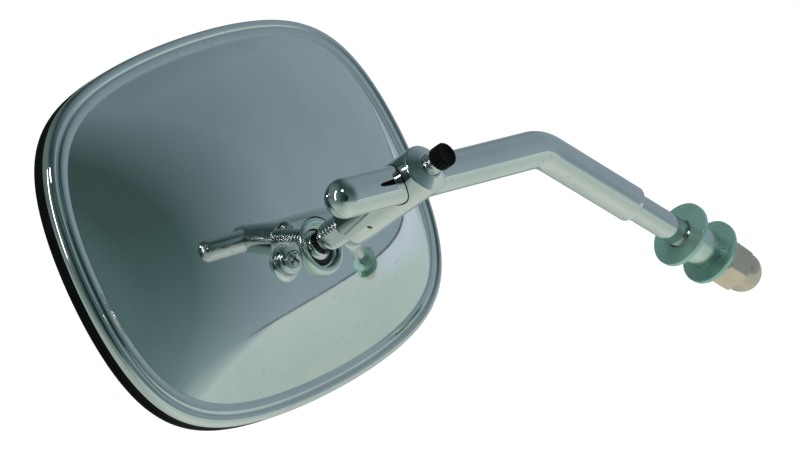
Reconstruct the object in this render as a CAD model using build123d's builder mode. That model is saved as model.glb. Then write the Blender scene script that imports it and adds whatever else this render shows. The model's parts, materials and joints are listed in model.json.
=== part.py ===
from build123d import *
import math
import os

# Side mirror on a bent stud arm.
# Row frame: origin on the mounting stud's axis where the panel seats, X along the head's long axis,
# +Y the way the glass faces, +Z up. All sizes in millimetres.

# ---- head: squircle outline and domed shell (heights are along the head's own axis, rim plane at 0)
HEAD_A = 70.7            # half length of the head
HEAD_B = 52.4            # half height of the head
SQUARENESS = 0.646       # 0 is an ellipse, 1 is a rectangle
OUTLINE_POINTS = 48
NEARLY_ZERO = 1e-9
SHEET = 1.0              # thickness of the pressed shell
RIM_TOP = 3.2            # height of the flat band inside the rim
RIM_ROUND = 2.5
DOME_INSET = 5.4         # from the outline to where the dome starts
DOME_RISE = 16.3
DOME_FULLNESS = 0.3      # 0 is a plain dome, more makes the middle flatter and the edge steeper
DOME_GRID = 13
DOME_TOLERANCE = 0.001
REACH = 40.0             # longer than any cut has to go

# ---- glass side
BEZEL_DROP = 3.8         # how far the rubber channel stands behind the rim plane
BEZEL_SHRINK = 0.15
BEZEL_WALL = 2.5
BEZEL_LIP = 5.0
BEZEL_LIP_THICK = 0.7
BEZEL_TONGUE_TOP = 1.9
GLASS_THICK = 2.4
GLASS_BACK = -0.65
GAP = 0.05
PLATE_THICK = 1.0
FOAM_INSET = 9.0
FOAM_TOP = 2.15

# ---- ball joint
RING_DROP = 15.0         # the stud leaves the shell this far below the head's centre
RING_TOP = 19.5
RING_R = 8.05
RING_MOUTH_R = 6.2
RING_MOUTH_DEPTH = 1.9
RING_ROUND = 0.6
BALL_DEPTH = 5.95        # ball centre below the ring's face
BALL_R = 6.0
SEAT_IN_R = 6.05
SEAT_OUT_R = 6.75
SOCKET_R = 6.8
BODY_R = 10.5
BODY_TOP = 13.2
BODY_BOTTOM = 5.6
CUP_BORE_R = 8.1
CUP_R = 8.0
CUP_TOP_BELOW_BALL = 1.76
CUP_BOTTOM = 5.55
SPRING_THICK = 1.0
SPRING_IN_R = 4.5
SPRING_OUT_R = 7.8
RETAINER_TOP = 4.4
RETAINER_THICK = 2.0
RETAINER_HALF_WIDTH = 9.0
SEAT_MOUTH_ABOVE = 4.1   # the outer seat is cut off here, above the ball's centre
SEAT_SPLIT = 1.6         # half the gap between the two seats, so that they can tilt past each other
INNER_SEAT_TOP = -2.6
INNER_SEAT_HOLE_R = 2.0

# ---- screws that clamp the socket
SCREW_X = 14.4
SCREW_R = 1.95
SCREW_HOLE_R = 2.15
SCREW_HEAD_R = 3.9
SCREW_HEAD_H = 1.9
SCREW_HEAD_ROUND = 1.1
CROSS_LENGTH = 4.4
CROSS_WIDTH = 0.9
CROSS_DEPTH = 1.2
CROSS_TURN = 35.0
PAD_TOP = 18.0           # flat embossed in the dome under each screw
PAD_R = 4.4
PAD_IN_R = 3.5
PAD_BOTTOM = 14.8
PAD_SHEET = 1.0
EAR_R = 3.3              # screw bosses
EAR_PLATE_R = 5.2        # plate that joins them
EAR_BOTTOM = 6.0
EAR_TOP = 9.0
FLAT_WASHER_R = 4.2
FLAT_WASHER_H = 0.5
SPLIT_WASHER_R = 3.7
SPLIT_WASHER_H = 0.7
SPLIT_GAP = 0.6
SPLIT_SLANT = 20.0

# ---- ball stud and hub (heights are along the hub's axis from the ball's centre)
HUB_TILT = 7.94          # the hub leans towards the top of the head by this angle
ARM_ROLL = -6.72         # the bar is turned about the hub's axis by this angle
NECK_R = 3.2
NECK_TOP = 8.2
NECK_HOLE_R = 5.2        # hole through the ring, wide enough for the stud to lean
STUD_R = 3.95
STUD_TOP = 34.0
FLAT_BOTTOM = 10.0
FLAT_TOP = 16.0
FLAT_HALF = 3.25
FLAT_TURN = 120.0
ROD_HEIGHT = 41.85
HUB_R = 6.7
HUB_BOTTOM = 19.1
HUB_SHOULDER = 49.9      # above this the hub narrows to its top
HUB_TOP = 52.0
HUB_TOP_R = 3.4
HUB_EDGE = 0.5
PIN_HEIGHT = 27.0
PIN_R = 0.8
PIN_DEPTH = 2.4
PIN_ANGLE = 233.0
BUSH_R = 5.65
BUSH_HALF = 3.4
BUSH_SLIT = 1.2
THUMB_R = 2.9
THUMB_HOLE_R = 2.95
THUMB_STEP = 53.9        # the thread ends here and a thinner neck goes on into the cap
THUMB_NECK_R = 1.95
CLAMP_PAD_BOTTOM = 47.6
CLAMP_PAD_TOP = 48.5
CAP_BOTTOM = 54.9
CAP_TOP = 58.4
CAP_R = 3.3
CAP_RIBS = 18
CAP_RIB_R = 0.3
CAP_SOCKET_TOP = 57.0

# ---- arm (lengths along the bar's axis from where it crosses the hub)
ROD_R = 5.24
ROD_BORE_R = 5.28
ROD_FREE = 29.4
ROD_FREE_ROUND = 4.9
ARM_TWIST = 10.36        # the bent end is turned about the straight end by this angle
BEND_AT = 57.0
BEND_ANGLE = 35.08
BEND_R = 14.0
SHOULDER = 38.3          # from the bend's corner
SHOULDER_EDGE = 0.6
SEAT_AT = 60.25          # from the bend's corner, along the stud

# ---- mounting stud and its hardware (heights along the stud's axis from the panel seat)
SHANK_R = 3.97
SHANK_END = 27.0
WASHER_R = 9.6
WASHER_IN_R = 4.1
WASHER_H = 1.6
WASHER_EDGE = 0.25
SLEEVE_R = 5.65
SLEEVE_L = 11.15
LOCK_R = 6.5
LOCK_H = 2.0
LOCK_GAP = 1.2
NUT_FLATS = 13.0
NUT_HEX_H = 8.4
NUT_H = 17.3
NUT_DOME_R = 5.95
NUT_BORE_R = 4.02
NUT_BORE_DEPTH = 13.0
NUT_CHAMFER = 0.8
NUT_TAPER = 3.0          # turns the hexagon's outer corners down
NUT_TURN = 12.0

# ---- planes: each is first laid out from the head's centre, then moved so the seat is the origin
head_zero = Plane(origin=(0, 0, 0), x_dir=(1, 0, 0), z_dir=(0, -1, 0))
ball_point = head_zero.from_local_coords(Vector(0, -RING_DROP, RING_TOP - BALL_DEPTH))
ball_zero = Plane(origin=ball_point, x_dir=head_zero.x_dir, z_dir=head_zero.z_dir)
hub_zero = Plane(ball_zero.location * Rotation(-HUB_TILT, 0, 0) * Rotation(0, 0, ARM_ROLL))
arm_zero = Plane(hub_zero.offset(ROD_HEIGHT).location * Rotation(ARM_TWIST, 0, 0))
bend_cos = math.cos(math.radians(BEND_ANGLE))
bend_sin = math.sin(math.radians(BEND_ANGLE))
seat_point = arm_zero.from_local_coords(
    Vector(BEND_AT + SEAT_AT * bend_cos, -SEAT_AT * bend_sin, 0)
)
stud_dir = (arm_zero.x_dir * bend_cos - arm_zero.y_dir * bend_sin).normalized()


def from_seat(plane):
    """The same plane, measured from the panel seat."""
    return Plane(origin=plane.origin - seat_point, x_dir=plane.x_dir, z_dir=plane.z_dir)


HEAD = from_seat(head_zero)
BALL = from_seat(ball_zero)
HUB = from_seat(hub_zero)
ARM = from_seat(arm_zero)
BAR = Plane(origin=ARM.origin, x_dir=ARM.y_dir, z_dir=ARM.x_dir)
STUD = Plane(origin=(0, 0, 0), x_dir=ARM.z_dir, z_dir=stud_dir)


def squircle_radius(angle):
    """Polar radius of the unit squircle x2 + y2 - s x2 y2 = 1."""
    q = SQUARENESS * (math.cos(angle) * math.sin(angle)) ** 2
    if q < NEARLY_ZERO:
        return 1.0
    return math.sqrt((1 - math.sqrt(1 - 4 * q)) / (2 * q))


def squircle(inset):
    """The head's outline, moved in by the given distance, as a flat sketch."""
    points = []
    for step in range(OUTLINE_POINTS):
        angle = 2 * math.pi * step / OUTLINE_POINTS
        radius = squircle_radius(angle)
        x = (HEAD_A - inset) * radius * math.cos(angle)
        y = (HEAD_B - inset) * radius * math.sin(angle)
        points.append((x, y))
    with BuildSketch(Plane.XY, mode=Mode.PRIVATE) as outline:
        with BuildLine():
            Spline(*points, periodic=True)
        make_face()
    return outline.sketch


def dome_height(x, y, drop):
    """Height of the dome's outside, less a drop, over a point of the head."""
    u = (x / (HEAD_A - DOME_INSET)) ** 2
    v = (y / (HEAD_B - DOME_INSET)) ** 2
    g = 1 - u - v + SQUARENESS * u * v
    return RIM_TOP + DOME_RISE * (g + DOME_FULLNESS * g * (1 - g)) - drop


def dome_solid(inset, drop, base):
    """Everything under the dome's surface, inside the dome's outline, above the base height."""
    points = []
    for row in range(DOME_GRID):
        line = []
        for column in range(DOME_GRID):
            x = HEAD_A * (2 * column / (DOME_GRID - 1) - 1)
            y = HEAD_B * (2 * row / (DOME_GRID - 1) - 1)
            line.append(HEAD.from_local_coords(Vector(x, y, dome_height(x, y, drop))))
        points.append(line)
    surface = Face.make_surface_from_array_of_points(points, tol=DOME_TOLERANCE)
    with BuildPart() as dome:
        with BuildSketch(HEAD.offset(base)):
            add(squircle(inset))
        extrude(amount=REACH - base)
        extrude(surface, amount=REACH, dir=-HEAD.z_dir, mode=Mode.INTERSECT)
    return dome.part


def split_ring(plane, outer_r, inner_r, height, gap):
    """A spring washer: a ring with a slot cut through one side."""
    with BuildPart(mode=Mode.PRIVATE) as ring:
        with BuildSketch(plane):
            Circle(outer_r)
            Circle(inner_r, mode=Mode.SUBTRACT)
            with Locations(((outer_r + inner_r) / 2, 0)):
                Rectangle(2 * (outer_r - inner_r), gap, rotation=SPLIT_SLANT, mode=Mode.SUBTRACT)
        extrude(amount=height)
    return ring.part


def save(part, name):
    """Labels a finished piece and writes it."""
    part.label = name
    export_step(part, f"parts/{name}.step")


os.makedirs("parts", exist_ok=True)
screw_places = [(-SCREW_X, -RING_DROP), (SCREW_X, -RING_DROP)]

# ==== head ====

outer_dome = dome_solid(DOME_INSET, 0, RIM_TOP - SHEET)
inner_dome = dome_solid(DOME_INSET + SHEET, SHEET, RIM_TOP - 2 * SHEET)

# Pressed shell: rounded rim wall, flat band, dome, and a flat pad under each screw.
with BuildPart() as back_shell:
    with BuildSketch(HEAD):
        add(squircle(0))
    extrude(amount=RIM_TOP)
    rim_edge = back_shell.faces().sort_by(Axis(HEAD.origin, HEAD.z_dir))[-1].edges()
    fillet(rim_edge, RIM_ROUND)
    with BuildSketch(HEAD):
        add(squircle(SHEET))
    extrude(amount=RIM_TOP - SHEET, mode=Mode.SUBTRACT)
    add(outer_dome)
    with BuildSketch(HEAD.offset(PAD_BOTTOM)):
        with Locations(*screw_places):
            Circle(PAD_R)
    extrude(amount=PAD_TOP - PAD_BOTTOM)
    add(inner_dome, mode=Mode.SUBTRACT)
    with BuildSketch(HEAD.offset(PAD_TOP)):
        with Locations(*screw_places):
            Circle(PAD_R)
    extrude(amount=PAD_SHEET, mode=Mode.SUBTRACT)
    with BuildSketch(HEAD.offset(PAD_BOTTOM)):
        with Locations(*screw_places):
            Circle(PAD_R)
    extrude(amount=PAD_TOP - PAD_BOTTOM)
    with BuildSketch(HEAD.offset(PAD_BOTTOM - SHEET)):
        with Locations(*screw_places):
            Circle(PAD_IN_R)
    extrude(amount=PAD_TOP - PAD_SHEET - PAD_BOTTOM + SHEET, mode=Mode.SUBTRACT)
    with BuildSketch(HEAD.offset(PAD_BOTTOM)):
        with Locations(*screw_places):
            Circle(SCREW_HOLE_R)
        with Locations((0, -RING_DROP)):
            Circle(RING_R + GAP)
    extrude(amount=REACH, mode=Mode.SUBTRACT)
    with BuildSketch(HEAD.offset(BODY_TOP)):
        with Locations((0, -RING_DROP)):
            Circle(RING_R + GAP)
    extrude(amount=REACH, mode=Mode.SUBTRACT)
save(back_shell.part, "back_shell")

# Rubber channel: outer wall, front lip over the glass, and a tongue up inside the shell's wall.
with BuildPart() as rim_bezel:
    with BuildSketch(HEAD.offset(-BEZEL_DROP)):
        add(squircle(BEZEL_SHRINK))
    extrude(amount=BEZEL_DROP - GAP)
    with BuildSketch(HEAD.offset(-GAP)):
        add(squircle(SHEET + GAP))
    extrude(amount=BEZEL_TONGUE_TOP)
    with BuildSketch(HEAD.offset(BEZEL_LIP_THICK - BEZEL_DROP)):
        add(squircle(BEZEL_WALL))
    extrude(amount=2 * BEZEL_DROP, mode=Mode.SUBTRACT)
    with BuildSketch(HEAD.offset(-BEZEL_DROP)):
        add(squircle(BEZEL_LIP))
    extrude(amount=BEZEL_DROP, mode=Mode.SUBTRACT)
save(rim_bezel.part, "rim_bezel")

with BuildPart() as mirror_glass:
    with BuildSketch(HEAD.offset(GLASS_BACK - GLASS_THICK)):
        add(squircle(BEZEL_WALL + GAP))
    extrude(amount=GLASS_THICK)
save(mirror_glass.part, "mirror_glass")

with BuildPart() as backing_plate:
    with BuildSketch(HEAD.offset(GLASS_BACK)):
        add(squircle(BEZEL_WALL + GAP))
    extrude(amount=PLATE_THICK)
save(backing_plate.part, "backing_plate")

with BuildPart() as foam_pad:
    with BuildSketch(HEAD.offset(GLASS_BACK + PLATE_THICK)):
        add(squircle(FOAM_INSET))
    extrude(amount=FOAM_TOP - GLASS_BACK - PLATE_THICK)
save(foam_pad.part, "foam_pad")

# Die-cast socket: its neck shows as the ring round the stud, its two ears take the screws.
with BuildPart() as socket_housing:
    with BuildSketch(BALL.offset(BODY_BOTTOM - RING_TOP + BALL_DEPTH)):
        Circle(BODY_R)
    extrude(amount=BODY_TOP - BODY_BOTTOM)
    with BuildSketch(HEAD.offset(EAR_BOTTOM)):
        with Locations((0, -RING_DROP)):
            SlotCenterToCenter(2 * SCREW_X, 2 * EAR_PLATE_R)
    extrude(amount=EAR_TOP - EAR_BOTTOM)
    with BuildSketch(HEAD.offset(RETAINER_TOP + GAP)):
        with Locations(*screw_places):
            Circle(EAR_R)
    extrude(amount=PAD_TOP - PAD_SHEET - GAP - RETAINER_TOP - GAP)
    with BuildSketch(HEAD.offset(BODY_TOP)):
        with Locations((0, -RING_DROP)):
            Circle(RING_R)
    extrude(amount=RING_TOP - BODY_TOP)
    ring_face = socket_housing.faces().sort_by(Axis(HEAD.origin, HEAD.z_dir))[-1]
    fillet(ring_face.edges(), RING_ROUND)
    with BuildSketch(BALL.offset(BALL_DEPTH - RING_MOUTH_DEPTH)):
        Circle(RING_MOUTH_R)
    extrude(amount=RING_MOUTH_DEPTH + RING_ROUND, mode=Mode.SUBTRACT)
    with BuildSketch(BALL):
        Circle(NECK_HOLE_R)
    extrude(amount=BALL_DEPTH, mode=Mode.SUBTRACT)
    with Locations(BALL):
        Sphere(SOCKET_R, mode=Mode.SUBTRACT)
    with BuildSketch(BALL.offset(-CUP_TOP_BELOW_BALL + GAP)):
        Circle(CUP_BORE_R)
    extrude(amount=-REACH, mode=Mode.SUBTRACT)
    with BuildSketch(HEAD):
        with Locations(*screw_places):
            Circle(SCREW_HOLE_R)
    extrude(amount=REACH, mode=Mode.SUBTRACT)
save(socket_housing.part, "socket_housing")

with BuildPart() as pressure_cup:
    with BuildSketch(HEAD.offset(CUP_BOTTOM)):
        with Locations((0, -RING_DROP)):
            Circle(CUP_R)
    extrude(amount=RING_TOP - BALL_DEPTH - CUP_TOP_BELOW_BALL - CUP_BOTTOM)
    with Locations(BALL):
        Sphere(SOCKET_R, mode=Mode.SUBTRACT)
save(pressure_cup.part, "pressure_cup")

with BuildPart() as wave_spring:
    with BuildSketch(HEAD.offset(RETAINER_TOP + GAP)):
        with Locations((0, -RING_DROP)):
            Circle(SPRING_OUT_R)
            Circle(SPRING_IN_R, mode=Mode.SUBTRACT)
    extrude(amount=SPRING_THICK)
save(wave_spring.part, "wave_spring")

with BuildPart() as retainer_plate:
    with BuildSketch(HEAD.offset(RETAINER_TOP - RETAINER_THICK)):
        with Locations((0, -RING_DROP)):
            SlotCenterToCenter(2 * SCREW_X, 2 * EAR_R)
            Circle(RETAINER_HALF_WIDTH)
        with Locations(*screw_places):
            Circle(SCREW_R + GAP, mode=Mode.SUBTRACT)
    extrude(amount=RETAINER_THICK)
save(retainer_plate.part, "retainer_plate")

# Two cross-head pan screws, their spring washers and flat washers.
head_seat = PAD_TOP + FLAT_WASHER_H + SPLIT_WASHER_H
with BuildPart() as pan_screws:
    with BuildSketch(HEAD.offset(head_seat)):
        with Locations(*screw_places):
            Circle(SCREW_HEAD_R)
    extrude(amount=SCREW_HEAD_H)
    top_edges = pan_screws.edges().group_by(Axis(HEAD.origin, HEAD.z_dir))[-1]
    fillet(top_edges, SCREW_HEAD_ROUND)
    with BuildSketch(HEAD.offset(head_seat + SCREW_HEAD_H - CROSS_DEPTH)):
        with Locations(*screw_places):
            Rectangle(CROSS_LENGTH, CROSS_WIDTH, rotation=CROSS_TURN)
            Rectangle(CROSS_WIDTH, CROSS_LENGTH, rotation=CROSS_TURN)
    extrude(amount=CROSS_DEPTH, mode=Mode.SUBTRACT)
    with BuildSketch(HEAD.offset(RETAINER_TOP - RETAINER_THICK)):
        with Locations(*screw_places):
            Circle(SCREW_R)
    extrude(amount=head_seat - RETAINER_TOP + RETAINER_THICK)
save(pan_screws.part, "pan_screws")

with BuildPart() as pan_flat_washers:
    with BuildSketch(HEAD.offset(PAD_TOP)):
        with Locations(*screw_places):
            Circle(FLAT_WASHER_R)
            Circle(SCREW_HOLE_R, mode=Mode.SUBTRACT)
    extrude(amount=FLAT_WASHER_H)
save(pan_flat_washers.part, "pan_flat_washers")

left_seat = Plane(
    origin=HEAD.from_local_coords(Vector(-SCREW_X, -RING_DROP, PAD_TOP + FLAT_WASHER_H)),
    x_dir=HEAD.x_dir,
    z_dir=HEAD.z_dir,
)
right_seat = Plane(origin=left_seat.origin + HEAD.x_dir * 2 * SCREW_X, x_dir=HEAD.x_dir, z_dir=HEAD.z_dir)
with BuildPart() as pan_lock_washers:
    for seat in (left_seat, right_seat):
        add(split_ring(seat, SPLIT_WASHER_R, SCREW_HOLE_R, SPLIT_WASHER_H, SPLIT_GAP))
save(pan_lock_washers.part, "pan_lock_washers")

# ==== ball joint and hub ====

# Outer half of the plastic seat; it turns with the stud.
with BuildPart() as outer_seat:
    with Locations(HUB):
        Sphere(SEAT_OUT_R)
        Sphere(SEAT_IN_R, mode=Mode.SUBTRACT)
    with BuildSketch(HUB.offset(SEAT_MOUTH_ABOVE)):
        Circle(2 * SEAT_OUT_R)
    extrude(amount=SEAT_OUT_R, mode=Mode.SUBTRACT)
    with BuildSketch(HUB.offset(SEAT_SPLIT)):
        Circle(2 * SEAT_OUT_R)
    extrude(amount=-REACH, mode=Mode.SUBTRACT)
save(outer_seat.part, "outer_seat")

# Inner half, under the ball.
with BuildPart() as inner_seat:
    with Locations(BALL):
        Sphere(SEAT_OUT_R)
        Sphere(SEAT_IN_R, mode=Mode.SUBTRACT)
    with BuildSketch(BALL.offset(INNER_SEAT_TOP)):
        Circle(2 * SEAT_OUT_R)
    extrude(amount=REACH, mode=Mode.SUBTRACT)
    with BuildSketch(BALL):
        Circle(INNER_SEAT_HOLE_R)
    extrude(amount=-REACH, mode=Mode.SUBTRACT)
save(inner_seat.part, "inner_seat")

# Ball, neck and threaded stud with two spanner flats.
with BuildPart() as ball_stud:
    with Locations(HUB):
        Sphere(BALL_R)
    with BuildSketch(HUB):
        Circle(NECK_R)
    extrude(amount=NECK_TOP)
    with BuildSketch(HUB.offset(NECK_TOP)):
        Circle(STUD_R)
    extrude(amount=STUD_TOP - NECK_TOP)
    with BuildSketch(HUB.offset(FLAT_BOTTOM)):
        Circle(2 * STUD_R)
        Rectangle(4 * STUD_R, 2 * FLAT_HALF, rotation=FLAT_TURN, mode=Mode.SUBTRACT)
    extrude(amount=FLAT_TOP - FLAT_BOTTOM, mode=Mode.SUBTRACT)
save(ball_stud.part, "ball_stud")

pin_out = HUB.x_dir * math.cos(math.radians(PIN_ANGLE)) + HUB.y_dir * math.sin(math.radians(PIN_ANGLE))
pin_plane = Plane(origin=HUB.offset(PIN_HEIGHT).origin, x_dir=HUB.z_dir, z_dir=pin_out)

# Hub: cylinder with a coned top, cross bore for the bar and its bush, stud hole below,
# thumb screw hole above.
with BuildPart() as hub:
    with BuildSketch(HUB.offset(HUB_BOTTOM)):
        Circle(HUB_R)
    extrude(amount=HUB_SHOULDER - HUB_BOTTOM)
    lower_edge = hub.edges().filter_by(GeomType.CIRCLE).sort_by(Axis(HUB.origin, HUB.z_dir))[0]
    chamfer(lower_edge, HUB_EDGE)
    with Locations(HUB.offset(HUB_SHOULDER)):
        Cone(HUB_R, HUB_TOP_R, HUB_TOP - HUB_SHOULDER, align=(Align.CENTER, Align.CENTER, Align.MIN))
    with BuildSketch(BAR.offset(-2 * HUB_R)):
        Circle(ROD_BORE_R)
    extrude(amount=4 * HUB_R, mode=Mode.SUBTRACT)
    with BuildSketch(BAR.offset(-BUSH_HALF - GAP)):
        Circle(BUSH_R + GAP)
    extrude(amount=2 * (BUSH_HALF + GAP), mode=Mode.SUBTRACT)
    with BuildSketch(HUB.offset(HUB_BOTTOM)):
        Circle(STUD_R)
    extrude(amount=STUD_TOP - HUB_BOTTOM, mode=Mode.SUBTRACT)
    with BuildSketch(HUB.offset(ROD_HEIGHT)):
        Circle(THUMB_HOLE_R)
    extrude(amount=REACH, mode=Mode.SUBTRACT)
    with BuildSketch(pin_plane.offset(HUB_R - PIN_DEPTH)):
        Circle(PIN_R)
    extrude(amount=2 * PIN_DEPTH, mode=Mode.SUBTRACT)
save(hub.part, "hub")

with BuildPart() as stud_lock_pin:
    with BuildSketch(pin_plane.offset(HUB_R - PIN_DEPTH)):
        Circle(PIN_R)
    extrude(amount=PIN_DEPTH - HUB_EDGE)
save(stud_lock_pin.part, "stud_lock_pin")

# Thin split bush between the bar and the hub.
with BuildPart() as rod_bush:
    with BuildSketch(BAR.offset(-BUSH_HALF)):
        Circle(BUSH_R)
        Circle(ROD_BORE_R, mode=Mode.SUBTRACT)
        with Locations((-BUSH_R, 0)):
            Rectangle(BUSH_R, BUSH_SLIT, mode=Mode.SUBTRACT)
    extrude(amount=2 * BUSH_HALF)
save(rod_bush.part, "rod_bush")

# ==== thumb screw ====

with BuildPart() as clamp_pad:
    with BuildSketch(HUB.offset(CLAMP_PAD_BOTTOM)):
        Circle(THUMB_R)
    extrude(amount=CLAMP_PAD_TOP - CLAMP_PAD_BOTTOM)
save(clamp_pad.part, "clamp_pad")

with BuildPart() as thumb_screw:
    with BuildSketch(HUB.offset(CLAMP_PAD_TOP + GAP)):
        Circle(THUMB_R)
    extrude(amount=THUMB_STEP - CLAMP_PAD_TOP - GAP)
    with BuildSketch(HUB.offset(THUMB_STEP)):
        Circle(THUMB_NECK_R)
    extrude(amount=CAP_SOCKET_TOP - THUMB_STEP)
save(thumb_screw.part, "thumb_screw")

with BuildPart() as thumb_cap:
    with BuildSketch(HUB.offset(CAP_BOTTOM)):
        Circle(CAP_R - CAP_RIB_R)
        with PolarLocations(CAP_R - CAP_RIB_R, CAP_RIBS):
            Circle(CAP_RIB_R)
    extrude(amount=CAP_TOP - CAP_BOTTOM)
    with BuildSketch(HUB.offset(CAP_BOTTOM)):
        Circle(THUMB_NECK_R)
    extrude(amount=CAP_SOCKET_TOP - CAP_BOTTOM, mode=Mode.SUBTRACT)
save(thumb_cap.part, "thumb_cap")

# ==== arm ====

# Round bar with a domed free end, one bend, a shoulder and the threaded stud.
bend_end = Vector(BEND_AT + SHOULDER * bend_cos, -SHOULDER * bend_sin, 0)
with BuildPart() as arm_rod:
    with BuildLine(ARM) as arm_path:
        FilletPolyline((-ROD_FREE, 0), (BEND_AT, 0), (bend_end.X, bend_end.Y), radius=BEND_R)
    with BuildSketch(BAR.offset(-ROD_FREE)):
        Circle(ROD_R)
    sweep(path=arm_path.wires()[0])
    end_faces = arm_rod.faces().filter_by(GeomType.PLANE)
    free_face = end_faces.sort_by(Axis(ARM.origin, ARM.x_dir))[0]
    shoulder_face = end_faces.sort_by(Axis(ARM.origin, ARM.x_dir))[-1]
    fillet(free_face.edges(), ROD_FREE_ROUND)
    chamfer(shoulder_face.edges(), SHOULDER_EDGE)
    with BuildSketch(STUD.offset(SHOULDER - SEAT_AT)):
        Circle(SHANK_R)
    extrude(amount=SEAT_AT - SHOULDER + SHANK_END)
save(arm_rod.part, "arm_rod")

# ==== mounting hardware on the stud ====

washer_heights = {"outer_washer": -WASHER_H, "inner_washer": SLEEVE_L}
for washer_name, height in washer_heights.items():
    with BuildPart() as washer:
        with BuildSketch(STUD.offset(height)):
            Circle(WASHER_R)
            Circle(WASHER_IN_R, mode=Mode.SUBTRACT)
        extrude(amount=WASHER_H)
        rim_edges = washer.edges().filter_by(GeomType.CIRCLE).group_by(SortBy.RADIUS)[-1]
        chamfer(rim_edges, WASHER_EDGE)
    save(washer.part, washer_name)

with BuildPart() as spacer_sleeve:
    with BuildSketch(STUD):
        Circle(SLEEVE_R)
        Circle(WASHER_IN_R, mode=Mode.SUBTRACT)
    extrude(amount=SLEEVE_L)
save(spacer_sleeve.part, "spacer_sleeve")

lock_seat = STUD.offset(SLEEVE_L + WASHER_H)
with BuildPart() as lock_washer:
    add(split_ring(lock_seat, LOCK_R, WASHER_IN_R, LOCK_H, LOCK_GAP))
save(lock_washer.part, "lock_washer")

# Domed nut: chamfered hexagon, short round waist and a dome that closes the end.
nut_seat = lock_seat.offset(LOCK_H)
with BuildPart() as cap_nut:
    with BuildSketch(nut_seat):
        RegularPolygon(NUT_FLATS / 2, 6, major_radius=False, rotation=NUT_TURN)
    extrude(amount=NUT_HEX_H)
    with BuildSketch(nut_seat):
        Circle(NUT_FLATS / 2 + NUT_CHAMFER)
    extrude(amount=NUT_HEX_H, taper=NUT_TAPER, mode=Mode.INTERSECT)
    with BuildSketch(nut_seat.offset(NUT_HEX_H)):
        Circle(NUT_DOME_R)
    extrude(amount=NUT_H - NUT_HEX_H - NUT_DOME_R)
    with Locations(nut_seat.offset(NUT_H - NUT_DOME_R)):
        Sphere(NUT_DOME_R)
    with BuildSketch(nut_seat):
        Circle(NUT_BORE_R)
    extrude(amount=NUT_BORE_DEPTH, mode=Mode.SUBTRACT)
save(cap_nut.part, "cap_nut")
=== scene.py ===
import json
import math

import bpy
from mathutils import Matrix, Vector


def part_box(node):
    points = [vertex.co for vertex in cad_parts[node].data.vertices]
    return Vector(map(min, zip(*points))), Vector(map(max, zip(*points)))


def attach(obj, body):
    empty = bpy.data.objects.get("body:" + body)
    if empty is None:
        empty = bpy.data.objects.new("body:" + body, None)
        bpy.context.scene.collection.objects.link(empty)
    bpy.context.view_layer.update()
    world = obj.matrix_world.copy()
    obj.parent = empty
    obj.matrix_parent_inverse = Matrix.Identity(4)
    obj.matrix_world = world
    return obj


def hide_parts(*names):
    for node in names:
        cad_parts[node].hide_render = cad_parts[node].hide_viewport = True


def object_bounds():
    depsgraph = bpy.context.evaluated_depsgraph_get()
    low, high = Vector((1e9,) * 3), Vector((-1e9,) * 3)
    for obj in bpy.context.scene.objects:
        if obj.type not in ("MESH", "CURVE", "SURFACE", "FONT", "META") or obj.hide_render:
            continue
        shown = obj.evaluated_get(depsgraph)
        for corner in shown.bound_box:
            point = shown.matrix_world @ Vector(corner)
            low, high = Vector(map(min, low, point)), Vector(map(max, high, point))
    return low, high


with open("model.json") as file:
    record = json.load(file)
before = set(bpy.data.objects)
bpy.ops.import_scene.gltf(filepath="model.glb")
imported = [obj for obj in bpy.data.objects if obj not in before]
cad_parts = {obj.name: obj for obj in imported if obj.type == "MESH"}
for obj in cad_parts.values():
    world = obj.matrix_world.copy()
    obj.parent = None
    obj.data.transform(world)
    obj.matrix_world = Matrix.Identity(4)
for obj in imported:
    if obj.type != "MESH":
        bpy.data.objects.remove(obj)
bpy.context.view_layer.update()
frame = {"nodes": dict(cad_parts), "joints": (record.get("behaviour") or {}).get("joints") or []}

# Sizes are in millimetres and become metres when a mesh is made. Places come from the record's joints
# and from the CAD nodes' boxes.
MM = 0.001
TURN = 2 * math.pi

# ---- head
HEAD_A, HEAD_B = 70.7, 52.4
SQUARENESS = 0.646
DOME_INSET = 5.5
RIM_TOP = 3.2
DOME_RISE = 16.3
DOME_FULLNESS = 0.3
SHEET = 0.8
SCREW_X = 14.4
PAD_TOP = 18.0
PAD_R, PAD_BLEND = 4.25, 0.8
RING_R = 8.05
RING_MOUTH_R = 6.2
RING_HOLE_R = 5.2
RING_TOP = 19.5
RING_HOLE_TOP = 17.6
LIP_ROUND = 1.25
BARREL_R, BARREL_TOP, BARREL_BOTTOM = 10.5, 13.2, 5.6
CUP_BORE_R, CUP_BORE_TOP = 8.1, 11.85
SEAT_BORE_R, SEAT_BORE_START, SEAT_BORE_END = 6.8, 12.4, 14.0

# ---- screws that clamp the socket
BOSS_BORE_R, BOSS_R, BOSS_BOTTOM, BOSS_TOP = 2.15, 3.3, 4.5, 16.9
SCREW_R, SCREW_HEAD_R, SCREW_HEAD_H = 1.95, 3.88, 1.9
CROSS_ARM, CROSS_HALF, CROSS_DEPTH = 2.3, 0.5, 1.2
CROSS_TURN = 38.0
PAN_WASHER_R, PAN_WASHER_H = 4.2, 0.5
PAN_SPRING_R, PAN_SPRING_H = 3.7, 0.7
PAN_SPRING_GAP, PAN_SPRING_RISE, PAN_SPRING_TURN = 0.16, 0.1, 2.2

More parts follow.
